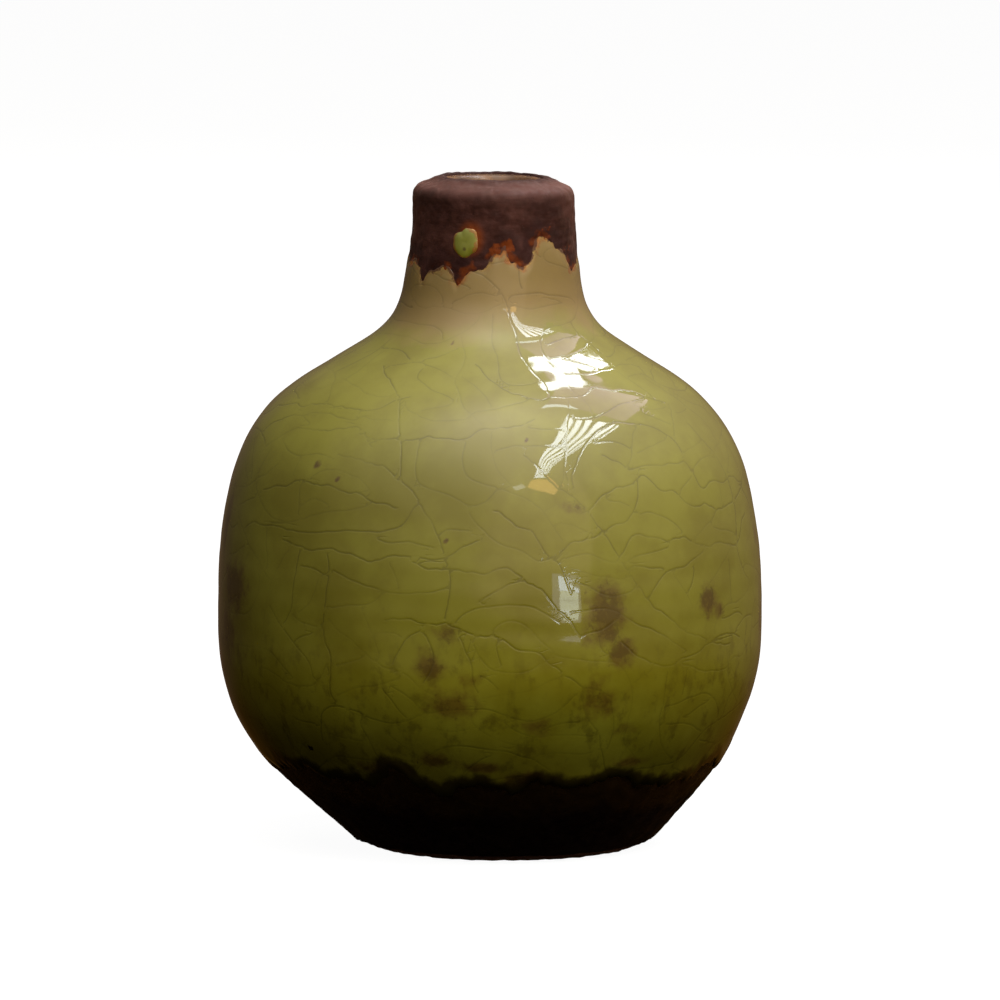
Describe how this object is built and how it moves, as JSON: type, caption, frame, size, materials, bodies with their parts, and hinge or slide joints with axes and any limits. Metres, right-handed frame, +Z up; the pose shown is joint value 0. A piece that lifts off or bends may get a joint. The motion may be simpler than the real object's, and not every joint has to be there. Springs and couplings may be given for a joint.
{
  "type": "bud vase",
  "caption": "Squat round stoneware bud vase with a short narrow neck, green crackle glaze and dark slip at the lip and heel.",
  "frame": {"origin": "on the vase's axis, in the plane it stands on", "axes": "+Z up along the vase's axis, -Y towards the front, where the splash of glaze on the neck is"},
  "size_m": [0.093, 0.093, 0.114],
  "materials": {
    "stoneware": "bare fired clay, matt and slightly gritty",
    "green_crackle_glaze": "glossy olive-green glaze with fine crackle and iron spots",
    "dark_slip": "dark purple-brown satin slip with rusty edges",
    "amber_liner_glaze": "glossy amber-brown liner glaze"
  },
  "bodies": {
    "root": {"clay_body": "stoneware", "crackle_glaze": "green_crackle_glaze", "glaze_splash": "green_crackle_glaze", "rim_slip": "dark_slip", "heel_slip": "dark_slip", "liner_glaze": "amber_liner_glaze"}
  },
  "joints": []
}
